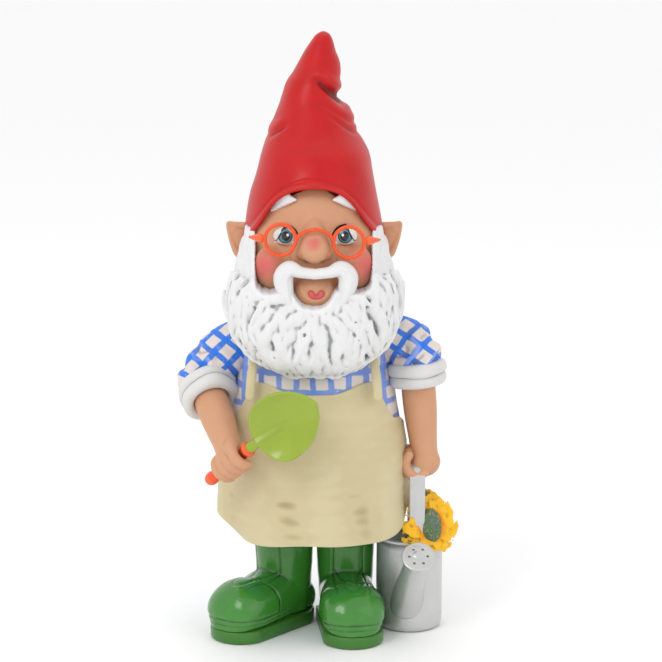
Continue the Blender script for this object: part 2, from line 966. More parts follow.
class Paint:
    """Every finish on the gnome."""

    RED = Finish("red_enamel", "red_paint", srgb(184, 6, 9), srgb(96, 3, 6),
                 srgb(200, 58, 46), 0.40, 0.05, 0.14)
    SKIN = Skin("skin_enamel", "skin_paint", srgb(202, 150, 116), srgb(150, 92, 66),
                srgb(222, 178, 146), 0.46, 0.05, 0.05)
    EYE = EyePaint("eye_enamel", "eye_paint", srgb(214, 216, 214), srgb(150, 150, 150),
                   srgb(220, 220, 220), 0.16, 0.8, 0.03)
    LIP = Finish("lip_enamel", "lip_paint", srgb(204, 84, 84), srgb(140, 46, 46),
                 srgb(222, 120, 112), 0.3, 0.3)
    HAIR = Hair("white_hair_enamel", "white_hair_paint", srgb(222, 222, 222),
                srgb(132, 134, 138), srgb(236, 236, 236), 0.5, 0.0, 0.04, 0.85)
    ORANGE = Finish("orange_enamel", "orange_paint", srgb(228, 80, 28), srgb(130, 38, 10),
                    srgb(242, 130, 80), 0.28, 0.4)
    SHIRT = Plaid("plaid_body", "plaid_paint", srgb(218, 208, 202), srgb(120, 110, 110),
                  srgb(230, 224, 220), 0.5)
    RIGHT_SLEEVE = Plaid("plaid_right_sleeve", "plaid_paint", srgb(218, 208, 202),
                         srgb(120, 110, 110), srgb(230, 224, 220), 0.5,
                         first=(-0.66, -0.33, -0.68), second=(-0.72, 0.30, 0.62))
    LEFT_SLEEVE = Plaid("plaid_left_sleeve", "plaid_paint", srgb(218, 208, 202),
                        srgb(120, 110, 110), srgb(230, 224, 220), 0.5,
                        first=(0.78, -0.36, -0.50), second=(0.55, 0.20, 0.81))
    CUFF = Finish("cuff_enamel", "cuff_paint", srgb(206, 204, 202), srgb(112, 112, 116),
                  srgb(226, 226, 224), 0.45)
    APRON = Finish("apron_enamel", "apron_paint", srgb(198, 185, 146), srgb(112, 92, 56),
                   srgb(214, 206, 172), 0.5, 0.0, 0.05, 0.45)
    BLUE = Finish("blue_enamel", "blue_paint", srgb(44, 104, 186), srgb(16, 42, 84),
                  srgb(90, 144, 206), 0.4)
    GREEN = Finish("green_enamel", "green_paint", srgb(58, 128, 44), srgb(16, 46, 12),
                   srgb(96, 152, 74), 0.2, 0.6, 0.14)
    SOLE = Finish("sole_enamel", "green_paint", srgb(52, 114, 38), srgb(16, 42, 12),
                  srgb(90, 130, 60), 0.35, 0.2)
    LIME = Finish("lime_enamel", "lime_paint", srgb(140, 162, 18), srgb(70, 86, 8),
                  srgb(176, 190, 60), 0.22, 0.6, 0.12, specular=0.5)
    SILVER = Metal("silver_enamel", "silver_paint", srgb(196, 196, 196), srgb(104, 104, 106),
                   srgb(208, 208, 206), 0.34, 0.0, 0.08)
    LEAF = Finish("leaf_enamel", "leaf_paint", srgb(60, 96, 44), srgb(24, 42, 18),
                  srgb(96, 128, 70), 0.5)
    DISC = Speckled("disc_enamel", "leaf_paint", srgb(74, 112, 62), srgb(34, 46, 34),
                    srgb(150, 150, 110), 0.55)
    DOWEL = Finish("dowel_wood", "dowel", srgb(200, 170, 126), srgb(140, 110, 76),
                   srgb(214, 190, 150), 0.6)


# ----------------------------------------------------------------------------- boots

@dataclass
class Boots:
    """Glossy wellingtons on soles."""

    stance: float = 17.2
    length: float = 70.0
    heel: float = 17.3
    sole: float = 7.0
    toe_out: dict[Side, float] = field(default_factory=lambda: {Side.RIGHT: -40.0,
                                                                Side.LEFT: 6.0})

    def upper(self) -> Clay:
        """Foot and shaft, toes towards -Y.

        Returns:
            Their clay, before it is turned out.
        """
        clay = Clay()
        rows = [(0.0, 8.0, 9.0), (0.06, 12.0, 17.0), (0.2, 14.5, 27.0), (0.4, 15.2, 27.0),
                (0.58, 16.8, 24.0), (0.76, 17.6, 24.5), (0.9, 15.6, 20.5), (0.97, 10.8, 15.0),
                (1.0, 5.5, 9.5)]
        rings = []
        for step in range(41):
            share = step / 40
            half, high = table(rows, share)
            y = self.heel - self.length * share
            rings.append([Vector((half * math.cos(a), y, self.sole + max(
                high * (0.45 + (0.55 if math.sin(a) > 0 else 0.80) * math.sin(a)), 0.0)))
                          for a in (math.tau * k / 48 for k in range(48))])
        clay.rings(rings)
        clay.loft([(8, 14.0, -14.0, 14.5, 0), (24, 15.4, -15.4, 15.6, 0),
                   (38, 16.0, -16, 16, 0), (48, 16.6, -16.6, 16.6, 0),
                   (50.6, 16.9, -16.9, 16.9, 0), (52, 15.9, -15.9, 15.9, 0)], 30, 48)
        clay.recast(0.62, 3)
        return clay

    def crease(self, place: Vector, normal: Vector) -> Vector:
        """Toe cap, foxing lines round the toe, panels on the shaft and a rolled top.

        Args:
            place: A vertex of the boot.
            normal: Its normal.

        Returns:
            Its move.
        """
        lift = 0.0
        forward = (self.heel - place.y) / self.length
        if forward > 0.45 and place.z < 15:
            for line in (10.4, 13.2):
                lift -= 0.55 * bump(place.z, line, 0.9)
        cap = 0.60 + 0.05 * math.cos(place.x / 7)
        if place.z > 14:
            lift -= 0.75 * bump(forward, cap, 0.022)
            lift += 0.35 * smooth(forward, cap, cap + 0.03)
        if 27 < place.z < 48 and place.y < 4:
            for edge in (-8.6, 8.6):
                lift -= 0.6 * bump(place.x, edge, 0.9) * smooth(place.z, 27, 30)
            lift -= 0.5 * bump(place.z, 30.0 + 0.05 * place.x**2, 0.9) * (abs(place.x) < 8.6)
        lift += 0.7 * smooth(place.z, 47.4, 48.6) * (1 - smooth(place.z, 51, 52))
        lift += 0.30 * turbulence(place, 9.0, 1.0)
        return normal * lift

    def outsole(self) -> Clay:
        """A stadium with a rounded edge, wider at the toe.

        Returns:
            Its clay, before it is turned out.
        """
        clay = Clay()
        rings = []
        for inset, z in ((1.6, 0.02), (0.5, 0.35), (0.0, 1.2), (0.05, 3.2), (-0.15, 5.6),
                         (0.3, 6.7), (1.0, 7.0)):
            ring = []
            for k in range(72):
                angle = math.tau * k / 72
                front = math.sin(angle) < 0
                radius = (17.4 if front else 14.5) - inset
                middle = (self.heel - self.length + 17.2) if front else self.heel - 13.6
                blend = smooth(abs(math.sin(angle)), 0.0, 0.35)
                wide = radius * blend + 16.4 * (1 - blend)
                ring.append(Vector((wide * math.cos(angle), middle + radius * math.sin(angle),
                                    z)))
            rings.append(ring)
        clay.rings(rings)
        return clay

    def build(self, bench: Bench) -> None:
        """Make both boots.

        Args:
            bench: Where they are finished.
        """
        for side in Side:
            turn = (Matrix.Translation((side.value * self.stance, 0, 0))
                    @ Matrix.Rotation(math.radians(self.toe_out[side]), 4, "Z"))
            for clay, paint, word, crease in ((self.upper(), Paint.GREEN, "boot", True),
                                              (self.outsole(), Paint.SOLE, "sole", False)):
                if crease:
                    clay.sculpt(self.crease)
                clay.bm.transform(turn)
                bench.cast(clay, f"{side.word}_{word}_cast", paint, f"{side.word}_{word}")


# ----------------------------------------------------------------------------- clothes

@dataclass
class Clothes:
    """Shirt, sleeves, cuffs, apron, straps and the tie behind."""

    body: tuple = ((68, 46, -45, 34, 0), (80, 48, -48, 37, 0), (93, 49, -50, 38, 0),
                   (110, 47.5, -48.5, 38, 0), (122, 46.5, -47.7, 37.7, 0),
                   (149, 42, -40, 34, 0), (160, 40, -36, 30, 0), (167, 35.3, -29, 27, 0),
                   (176, 22, -20, 19, 0), (180, 14, -14, 14, 0))
    elbow: dict[Side, Vector] = field(default_factory=lambda: {
        Side.RIGHT: Vector((-59, -13, 137.4)), Side.LEFT: Vector((56, -11, 149.8))})
    fist: dict[Side, Vector] = field(default_factory=lambda: {
        Side.RIGHT: Vector((-44, -53, 109.4)), Side.LEFT: Vector((61, -12, 96))})
    wrap: float = 112.0
    cloth: float = 1.9

    def shirt(self, bench: Bench) -> None:
        """The body, with soft folds at the waist.

        Args:
            bench: Where it is finished.
        """
        clay = Clay()
        clay.loft(self.body, 60, 96)
        clay.sculpt(lambda p, n: n * (0.5 * turbulence(Vector((p.x, p.y, p.z * 0.5)), 9.0)
                                      * bump(p.z, 115, 50) - 0.2))
        bench.cast(clay, "shirt_cast", Paint.SHIRT, "shirt")

    def sleeve(self, bench: Bench, side: Side) -> None:
        """A short full sleeve with folds that gather at the cuff.

        Args:
            bench: Where it is finished.
            side: The arm it is on.
        """
        sign = side.value
        elbow = self.elbow[side]
        direction = (self.fist[side] - elbow).normalized()
        shoulder = Vector((sign * 33, 0, 164))
        middle = (shoulder + elbow) / 2 + Vector((sign * 3.5, 1.5, 3.5))
        points, radii = along([shoulder, middle, elbow - direction * 6.0],
                              [13.6, 15.2, 14.0], 22)
        clay = Clay()
        clay.tube(points, radii, sides=64)
        run = elbow - shoulder

        def fold(place: Vector, normal: Vector) -> Vector:
            """Rings of folds that wander.

            Args:
                place: A vertex.
                normal: Its normal.

            Returns:
                Its move.
            """
            share = (place - shoulder).dot(run) / run.length_squared
            wander = 2.0 * turbulence(place, 11.0, 3.0)
            ripple = math.sin(share * 17.0 + wander * 2.2)
            depth = 1.1 * smooth(share, 0.25, 0.9)
            return normal * (depth * ripple - 0.35 + 0.3 * turbulence(place, 5.0, 2.0))

        clay.recast(0.7, 2)
        clay.sculpt(fold)
        clay.relax(1)
        paint = Paint.RIGHT_SLEEVE if side is Side.RIGHT else Paint.LEFT_SLEEVE
        bench.cast(clay, f"{side.word}_sleeve_cast", paint, f"{side.word}_sleeve")

    def cuff(self, bench: Bench, side: Side) -> None:
        """A rolled cuff in two uneven turns.

        Args:
            bench: Where it is finished.
            side: The arm it is on.
        """
        direction = (self.fist[side] - self.elbow[side]).normalized()
        start = self.elbow[side] - direction * 2.2
        turn = direction.to_track_quat("Z", "Y").to_matrix()
        clay = Clay()
        profile = ((9.9, 0.4), (14.0, 0.0), (16.0, 1.2), (16.6, 3.6), (16.2, 6.0), (15.2, 6.9),
                   (15.8, 7.8), (15.9, 10.0), (15.0, 12.4), (12.8, 13.4), (10.6, 13.2),
                   (9.9, 11.5))
        rings = []
        for radius, height in profile:
            ring = []
            for k in range(72):
                angle = math.tau * k / 72
                uneven = 0.45 * math.sin(2 * angle + side.value) + 0.3 * math.sin(5 * angle)
                grow = uneven * smooth(radius, 12, 15)
                ring.append(start + turn @ Vector(((radius + grow) * math.cos(angle),
                                                   (radius + grow) * math.sin(angle),
                                                   height + 0.5 * math.sin(angle * 3) * (
                                                       6 < height < 8))))
            rings.append(ring)
        clay.rings(rings + rings[:1], cap=False)
        bmesh.ops.remove_doubles(clay.bm, verts=clay.bm.verts, dist=WELD)
        bmesh.ops.subdivide_edges(clay.bm, edges=clay.bm.edges, cuts=1, smooth=1.0,
                                  use_grid_fill=True)
        clay.relax(2)
        bench.cast(clay, f"{side.word}_cuff_cast", Paint.CUFF, f"{side.word}_cuff")

    def apron(self, bench: Bench) -> None:
        """A shell round the front with a bib, deep soft folds and a waving hem.

        Args:
            bench: Where it is finished.
        """
        outer = ((54, 55.9, -56, 44, 0), (72.2, 54.1, -54.5, 42, 0), (106, 51.7, -52.3, 41, 0),
                 (125, 48.9, -50.3, 40, 0), (144.2, 45.2, -43.8, 37, 0),
                 (156, 42, -38, 34, 0))
        clay = Clay()
        made = bmesh.ops.create_grid(clay.bm, x_segments=96, y_segments=60, size=1.0)
        for vert in made["verts"]:
            across, up = vert.co.x, (vert.co.y + 1) / 2
            spread = math.radians(-90 + across * self.wrap)
            side = abs(across)
            hem = 58.4 + 14.8 * smooth(side, 0.35, 0.95) + 0.7 * math.sin(across * 11 + 1)
            shoulder = 140.3 + 4.6 * smooth(side, 0.10, 0.36)
            top = shoulder - 22 * smooth(side, 0.385, 0.60) - 12 * smooth(side, 0.6, 1.0)
            z = hem + (top - hem) * up
            wide, front, back, _ = table(outer, z)
            middle, deep = (front + back) / 2, (back - front) / 2
            fold = (math.sin(across * 15.5 + 0.6 * math.sin(up * 5)) * 1.5
                    + 0.9 * turbulence(Vector((across * 30, 0, z * 0.35)), 8.0, 5.0))
            fold *= smooth(116 - z, 0, 40)
            wrinkle = 0.35 * turbulence(Vector((across * 40, z * 1.6, 0)), 7.0, 9.0)
            grow = fold + wrinkle - 1.0
            belly = bump(z, 100, 28) * 0.4
            vert.co = Vector(((wide + grow + belly) * math.cos(spread),
                              middle + (deep + grow + belly) * math.sin(spread), z))
        bmesh.ops.recalc_face_normals(clay.bm, faces=clay.bm.faces)
        clay.bm.normal_update()
        outward = sum((f.normal.y < 0) for f in clay.bm.faces) > len(clay.bm.faces) / 2
        bmesh.ops.solidify(clay.bm, geom=clay.bm.faces[:],
                           thickness=self.cloth if outward else -self.cloth)
        rim = [e for e in clay.bm.edges if e.is_manifold and e.calc_face_angle(0.0) > 1.0]
        bmesh.ops.bevel(clay.bm, geom=rim, offset=0.55, offset_type="OFFSET", segments=2,
                        profile=0.5, affect="EDGES", material=-1)
        bench.cast(clay, "apron_cast", Paint.APRON, "apron")

    def straps(self, bench: Bench) -> None:
        """Straps over the shoulders, the waist tie and its bow.

        Args:
            bench: Where they are finished.
        """
        for side in Side:
            sign = side.value
            line = [Vector((sign * 34.4, -41.0, 139)), Vector((sign * 33.4, -37.8, 150)),
                    Vector((sign * 31.0, -28, 162.6)), Vector((sign * 30.2, -12, 171.0)),
                    Vector((sign * 30, 4, 172.3)), Vector((sign * 30.2, 17, 166.8)),
                    Vector((sign * 30.6, 27, 155)), Vector((sign * 31, 33.4, 135)),
                    Vector((sign * 31, 35.4, 112))]
            points, _ = along(line, [1.0] * len(line), 60)
            clay = Clay()
            clay.tube(points, [2.6] * len(points), flat=0.46, hint=Vector((0, -0.02, 1)),
                      sides=20)
            bench.cast(clay, f"{side.word}_strap_cast", Paint.APRON,
                       f"{side.word}_apron_strap")
        clay = Clay()
        rows = []
        for step in range(64):
            angle = math.radians(28 + 124 * step / 63)
            rows.append(Vector((48.5 * math.cos(angle), -5 + 43.8 * math.sin(angle), 106.1)))
        clay.tube(rows, [3.3] * len(rows), flat=0.34, hint=Vector((0, 1, 0.01)), sides=20)
        bench.cast(clay, "apron_tie_cast", Paint.APRON, "apron_tie")
        clay = Clay()
        knot = Vector((0, 40.6, 106))
        clay.ball(knot, (3.4, 2.4, 3.4))
        for sign in (-1, 1):
            loop = [knot, knot + Vector((sign * 7, 1.2, 3.4)), knot + Vector((sign * 14, 0, 2)),
                    knot + Vector((sign * 13, -0.6, -2.4)), knot + Vector((sign * 6, 0.4, -1.6)),
                    knot]
            points, radii = along(loop, [1.4, 2.2, 2.6, 2.4, 2.0, 1.4], 26)
            clay.tube(points, radii, flat=0.5, hint=Vector((0, 1, 0)), sides=14)
            tail = [knot, knot + Vector((sign * 4, 0.6, -5)), knot + Vector((sign * 7, -0.2, -9.5))]
            points, radii = along(tail, [1.3, 2.0, 2.3], 12)
            clay.tube(points, radii, flat=0.45, hint=Vector((0, 1, 0)), sides=14)
        clay.recast(0.45, 2)
        bench.cast(clay, "apron_bow_cast", Paint.APRON, "apron_bow")

    def build(self, bench: Bench) -> None:
        """Make all the clothes.

        Args:
            bench: Where they are finished.
        """
        self.shirt(bench)
        for side in Side:
            self.sleeve(bench, side)
            self.cuff(bench, side)
        self.apron(bench)
        self.straps(bench)


@dataclass
class Arms:
    """Forearms and closed fists."""

    clothes: Clothes

    def build(self, bench: Bench) -> None:
        """Make both arms.

        Args:
            bench: Where they are finished.
        """
        for side in Side:
            fist, elbow = self.clothes.fist[side], self.clothes.elbow[side]
            direction = (fist - elbow).normalized()
            right = side is Side.RIGHT
            axis = Vector((19, -15, 19)).normalized() if right else Vector((0, 1, 0))
            grip = fist + Vector((1, -1, -3)) if right else Vector((56.5, -12, 96))
            curl = 3.6 + 2.4 if right else 4.0 + 2.6
            clay = Clay()
            wrist = fist - direction * 9
            points, radii = along([elbow - direction * 2, (elbow + wrist) / 2, wrist, fist],
                                  [9.2, 9.3, 7.6, 7.9], 16)
            clay.tube(points, radii, sides=40)
            clay.ball(fist + direction * 0.5, (8.6, 8.6, 8.4))
            first = (direction - axis * direction.dot(axis)).normalized()
            second = axis.cross(first)
            front = -1 if second.y > 0 else 1
            outer = second * front
            for finger in range(4):
                centre = grip + axis * ((finger - 1.5) * 4.9)
                size = 2.95 if finger in (0, 3) else 3.25
                path = [centre + outer * (curl * math.cos(a)) + first * (curl * math.sin(a))
                        for a in (-0.9, -0.3, 0.3, 0.9, 1.5, 2.1)]
                points, radii = along(path, [size * 0.9, size, size * 1.04, size * 1.08,
                                             size, size * 0.9], 18)
                clay.tube(points, radii, hint=axis, sides=20)
            root = fist - direction * 4 + axis * 6 + outer * 3
            tip = grip + axis * 7.4 + outer * (curl * 0.95) + first * 1.5
            points, radii = along([root, (root + tip) / 2 + outer * 1.6, tip],
                                  [3.6, 3.7, 2.9], 12)
            clay.tube(points, radii, sides=20)
            clay.recast(0.5, 3)
            bench.cast(clay, f"{side.word}_arm_cast", Paint.SKIN, f"{side.word}_arm",
                       f"{side.word}_arm_dowel")


# ----------------------------------------------------------------------------- head

class Face:
    """Head, ears, eyes and lip."""

    def head(self, bench: Bench) -> None:
        """The face with its nose, cheeks and mouth.

        Args:
            bench: Where it is finished.
        """
        clay = Clay()
        rows = [(178 + 88 * rise, 38 * w, -46 * f, 46 * a, 0) for rise, w, f, a in
                ((0.0, 0.60, 0.70, 0.44), (0.14, 0.86, 0.90, 0.66), (0.32, 0.99, 0.99, 0.76),
                 (0.50, 0.99, 1.00, 0.80), (0.66, 0.91, 0.97, 0.74), (0.82, 0.76, 0.86, 0.58),
                 (0.93, 0.52, 0.60, 0.38), (1.0, 0.12, 0.14, 0.04))]
        clay.loft(rows, 50, 96)
        tip = Vector((0.5, -50.0, 220.4))
        clay.ball(tip, (8.0, 7.8, 8.0))
        clay.tube([Vector((0.3, -43.5, 232)), Vector((0.3, -48.6, 226))], [4.6, 6.6], sides=24)
        clay.ball(Vector((1.0, -44.0, 197.2)), (11.4, 9.4, 9.2))
        for sign in (-1, 1):
            clay.ball(tip + Vector((sign * 5.9, 3.4, -2.4)), (4.0, 4.6, 4.2))
            clay.ball(Vector((sign * 21.8, -36.4, 208.6)), (10.0, 10.2, 12.6))
        clay.recast(0.62, 9)

        def carve(place: Vector, normal: Vector) -> Vector:
            """Mouth hollow, nostrils, eye beds and smile lines.

            Args:
                place: A vertex.
                normal: Its normal.

            Returns:
                Its move.
            """
            move = Vector()
            if place.y > -20:
                return move
            mouth = math.hypot((place.x - 1) / 8.6, (place.z - 203.5) / 11.2)
            move.y += 1.7 * (1 - smooth(mouth, 0.72, 1.0)) * (place.z < 206)
            for sign in (-1, 1):
                eye = math.hypot((place.x - 0.9 - sign * 15.8) / 8.4, (place.z - 226.4) / 6.6)
                move.y += 1.6 * (1 - smooth(eye, 0.5, 1.15)) * (place.y < -30)
                nostril = math.hypot((place.x - 0.4 - sign * 4.2) / 1.9, (place.z - 213.2) / 1.4)
                move += Vector((0, 1.5, 1.5)) * (1 - smooth(nostril, 0.3, 1.0))
                groove = abs(math.hypot(place.x - sign * 26, (place.z - 214) * 1.1) - 13.5)
                inner = smooth(-(place.x * sign), -20, -12) * (222 > place.z > 203)
                move -= normal * (0.8 * (1 - smooth(groove, 0.0, 2.2)) * inner)
            return move

        clay.sculpt(carve)
        clay.relax(2)
        bench.cast(clay, "head_cast", Paint.SKIN, "head", relief=0.9)

    def ears(self, bench: Bench) -> None:
        """Pointed ears with a bowl and a lobe.

        Args:
            bench: Where they are finished.
        """
        for side in Side:
            sign = side.value
            clay = Clay()
            root = Vector((sign * 36.0, 1.5, 215.5))
            outline = [root + Vector((0, 1.5, -7.6)), root + Vector((sign * 5.4, 2.2, -6.6)),
                       root + Vector((sign * 8.4, 3.0, -1.0)),
                       root + Vector((sign * 10.4, 4.2, 5.6)),
                       root + Vector((sign * 11.4, 4.8, 10.2)),
                       root + Vector((sign * 7.6, 3.6, 9.6)), root + Vector((sign * 2, 2, 9.2))]
            points, radii = along(outline, [2.2, 2.3, 1.9, 1.6, 0.9, 1.5, 2.0], 36)
            clay.tube(points, radii, sides=20)
            clay.ball(root + Vector((sign * 3.4, 3.2, 0.6)), (6.0, 2.2, 8.4))
            clay.ball(root + Vector((sign * 6.0, 3.8, 4.6)), (4.6, 1.9, 6.0))
            clay.ball(root + Vector((sign * 8.6, 4.4, 7.2)), (2.8, 1.4, 3.4))
            clay.ball(root + Vector((sign * 1.6, -0.4, -1.0)), (2.2, 1.6, 2.6))
            clay.recast(0.36, 6)
            bench.cast(clay, f"{side.word}_ear_cast", Paint.SKIN, f"{side.word}_ear")

    def eyes(self, bench: Bench) -> None:
        """Shallow domes.

        Args:
            bench: Where they are finished.
        """
        for side in Side:
            clay = Clay()
            clay.ball(Vector((side.value * 16.0 + 0.9, -41.2, 226.2)), (6.2, 4.0, 4.8), detail=5)
            bench.cast(clay, f"{side.word}_eye_cast", Paint.EYE, f"{side.word}_eye")

    def lip(self, bench: Bench) -> None:
        """A small heart.

        Args:
            bench: Where it is finished.
        """
        clay = Clay()
        centre = Vector((1.4, -51.3, 196.0))
        for sign in (-1, 1):
            points, radii = along([centre + Vector((sign * 2.7, 0, 0.9)),
                                   centre + Vector((sign * 1.5, -0.1, -0.6)),
                                   centre + Vector((0, 0.3, -2.4))], [1.9, 1.7, 0.7], 10)
            clay.tube(points, radii, sides=20)
        clay.recast(0.35, 3)
        bench.cast(clay, "lip_cast", Paint.LIP, "lip")

    def build(self, bench: Bench) -> None:
        """Make the face.

        Args:
            bench: Where it is finished.
        """
        self.head(bench)
        self.ears(bench)
        self.eyes(bench)
        self.lip(bench)


# ----------------------------------------------------------------------------- hair

@dataclass
class Whiskers:
    """Beard, moustache, brows and back hair, carved in locks."""

    seed: int = 7

    def __post_init__(self) -> None:
        """Seed the hand that lays the locks."""
        self.hand = random.Random(self.seed)

    def lock(self, clay: Clay, points: Path, radius: float, sway: float, axis: Vector,
             taper: float = 0.25) -> None:
        """Add a tapering S-curved lock.

        Args:
            clay: What it is added to.
            points: Four points from root to tip.
            radius: Its fullest radius.
            sway: How far it sways.
            axis: The way it sways.
            taper: Its tip's radius over its fullest.
        """
        phase = self.hand.uniform(0, math.tau)
        steps = 9
        places, sizes = along(points, [radius * max(taper, 0.5), radius, radius * 0.9,
                                       radius * taper], steps)
        bent = [p + axis * (sway * math.sin(phase + 5.0 * i / steps) * (i / steps) ** 0.6)
                for i, p in enumerate(places)]
        clay.tube(bent, sizes, flat=0.75, hint=Vector((0, 1, 0)), sides=8)

    @staticmethod
    def beard_front(x: float, z: float) -> tuple[float, float]:
        """The beard's skin.

        Args:
            x: Place across.
            z: Place up.

        Returns:
            The beard's front y and back y there.
        """
        rows = [(152, 14, -46.5, -34), (157, 25, -57, -24), (168, 38, -61, -14),
                (182, 45, -61, -6), (196, 46.5, -59, 0), (208, 44.5, -55.5, 4),
                (220, 40, -49.5, 6), (229, 37.5, -41, 6)]
        wide, front, back = table(rows, z)
        share = min(abs(x) / wide, 0.985)
        middle = (front + back) / 2
        return middle + (front - middle) * math.sqrt(1 - share**2.3), back

    def beard(self, bench: Bench) -> None:
        """A broad base with sweeping locks, and pointed curls along its lower edge.

        Args:
            bench: Where it is finished.
        """
        clay = Clay()
        clay.loft([(156, 10, -47, -35, 0), (160, 22, -54.6, -25, 0), (168, 34.5, -58.6, -14, 0),
                   (182, 42.2, -58.8, -6, 0), (196, 44.0, -57.0, 0, 0), (208, 42.5, -53.4, 4, 0),
                   (220, 38.5, -46, 6, 0), (228, 37, -39, 6, 0)], 40, 72)
        hand = self.hand
        for row in range(11):
            z = 160.0 + 4.5 * row
            half = table([(152, 12), (160, 30), (172, 40), (186, 44), (206, 43)], z)[0]
            count = int(half * 2 / 6.0)
            for item in range(count + 1):
                x = -half + 2 * half * (item + 0.5 * (row % 2)) / count + hand.uniform(-1.4, 1.4)
                if abs(x - 1) < 11 and z > 188:
                    continue
                self.traced_lock(clay, x, z + hand.uniform(-2, 2), hand.uniform(17, 26))
        for sign in (-1, 1):
            for item in range(5):
                line = [Vector((sign * (30.2 + 0.9 * item), -26 + 4.4 * item, 228 - 1.6 * item)),
                        Vector((sign * (32.0 + 1.2 * item), -31.5 + 4.6 * item, 219)),
                        Vector((sign * (34.6 + 1.2 * item), -36 + 4.4 * item, 204))]
                points, radii = along(line, [1.8, 2.9, 2.8], 12)
                clay.tube(points, radii, sides=12)
        clay.recast(0.62, 1)
        self.window(clay)
        clay.sculpt(self.fine)
        clay.relax(1, 0.4)
        clay.keep_largest()
        bench.cast(clay, "beard_cast", Paint.HAIR, "beard", relief=0.6)

    @staticmethod
    def flow(x: float, z: float) -> float:
        """The angle that hair runs at: outwards beside the mouth, then down.

        Args:
            x: Place across.
            z: Place up.

        Returns:
            The angle from straight down, positive towards +X, in radians.
        """
        sign = 1.0 if x > 1 else -1.0
        aside = smooth(abs(x - 1), 1.5, 10)
        high = smooth(z, 172, 202)
        far = 1 - 0.8 * smooth(abs(x), 22, 40)
        return sign * aside * (0.18 + 1.15 * high) * far

    def traced_lock(self, clay: Clay, x: float, z: float, length: float) -> None:
        """Lay a curled lock of three strands that follows the flow.

        Args:
            clay: What it is added to.
            x: Its root across.
            z: Its root up.
            length: Its length.
        """
        hand = self.hand
        steps, phase, curl = 12, hand.uniform(0, math.tau), hand.uniform(0.3, 0.65)
        places, angles = [], []
        for step in range(steps + 1):
            share = step / steps
            loose = 1 - 0.75 * smooth(abs(x), 30, 42)
            angle = self.flow(x, z) + curl * loose * math.sin(phase + 4.4 * share)
            x += math.sin(angle) * length / steps
            z = max(z - math.cos(angle) * length / steps, 150.4)
            wide = table([(149, 8), (152, 15), (157, 26), (168, 38), (182, 44.5), (196, 46),
                          (208, 44), (220, 40), (229, 38)], z)[0]
            x = max(-wide, min(wide, x))
            front, _ = self.beard_front(x, z)
            places.append(Vector((x, front + 2.4 - 2.0 * smooth(share, 0.0, 0.8), z)))
            angles.append(angle)
        fat = hand.uniform(1.25, 1.75)
        for strand in (-1, 0, 1):
            line, radii = [], []
            for step, (place, angle) in enumerate(zip(places, angles)):
                share = step / steps
                spread = strand * fat * 1.15 * (1 - share**1.6 * 0.85)
                line.append(place + Vector((math.cos(angle) * spread, 0.35 * abs(strand),
                                            math.sin(angle) * spread)))
                radii.append(fat * (0.55 + 0.6 * math.sin(math.pi * min(share + 0.15, 1.0)))
                             * (1 - 0.72 * share**2.2))
            clay.tube(line, radii, sides=8)

    @staticmethod
    def window(clay: Clay) -> None:
        """Push the beard back where the cheeks and the mouth show.

        Args:
            clay: The beard.
        """
        def push(place: Vector, normal: Vector) -> Vector:
            """Sink the face's opening behind the skin.

            Args:
                place: A vertex.
                normal: Its normal.

            Returns:
                Its move.
            """
            x, z = abs(place.x), place.z
            if place.y > -12:
                return Vector()
            floor_z = table([(0, 190.0), (5.5, 191.2), (9.0, 195), (11.5, 199), (17, 198.6),
                             (24, 197.6), (28.5, 199.5), (30.6, 206), (31.0, 229)],
                            min(x, 31.0))[0]
            inside = smooth(z, floor_z - 0.6, floor_z + 0.9) * (1 - smooth(x, 30.2, 31.8))
            return Vector((0, 19.0 * inside, 0))

        clay.sculpt(push)

    def fine(self, place: Vector, normal: Vector) -> Vector:
        """Fine carved strands and small pits.

        Args:
            place: A vertex.
            normal: Its normal.

        Returns:
            Its move.
        """
        wander = turbulence(place, 12.0, 4.0) * 4.0
        strand = math.sin(place.x * 1.5 + wander)
        pit = turbulence(Vector((place.x * 1.3, place.y, place.z)), 4.2, 8.0)
        depth = 0.16 * strand - 1.5 * smooth(pit, 0.60, 0.74) * (1 - smooth(place.z, 180, 205))
        return normal * depth

    def moustache(self, bench: Bench) -> None:
        """Two lobes and a smiling bar, carved along their sweep.

        Args:
            bench: Where it is finished.
        """
        clay = Clay()
        for sign in (-1, 1):
            line = [Vector((0.8, -54.8, 207.9)), Vector((sign * 7.5 + 0.9, -55.0, 208.9)),
                    Vector((sign * 13.4 + 1, -53.6, 210.4)),
                    Vector((sign * 17.0 + 1.2, -52.2, 205.8)),
                    Vector((sign * 16.2 + 1.2, -53.0, 199.0)),
                    Vector((sign * 13.8 + 1, -54.6, 192.0))]
            points, radii = along(line, [2.9, 3.1, 4.5, 5.3, 4.6, 2.4], 40)
            clay.tube(points, radii, sides=28)
            for off in (-1.6, 1.6):
                ridge = [p + Vector((off * 0.5 * sign, -r * 0.62, off * 0.3 * r / 3))
                         for p, r in zip(points, radii)]
                clay.tube(ridge[3:], [r * 0.42 for r in radii[3:]], sides=12)
        clay.recast(0.42, 3)
        bench.cast(clay, "moustache_cast", Paint.HAIR, "moustache", relief=0.6)

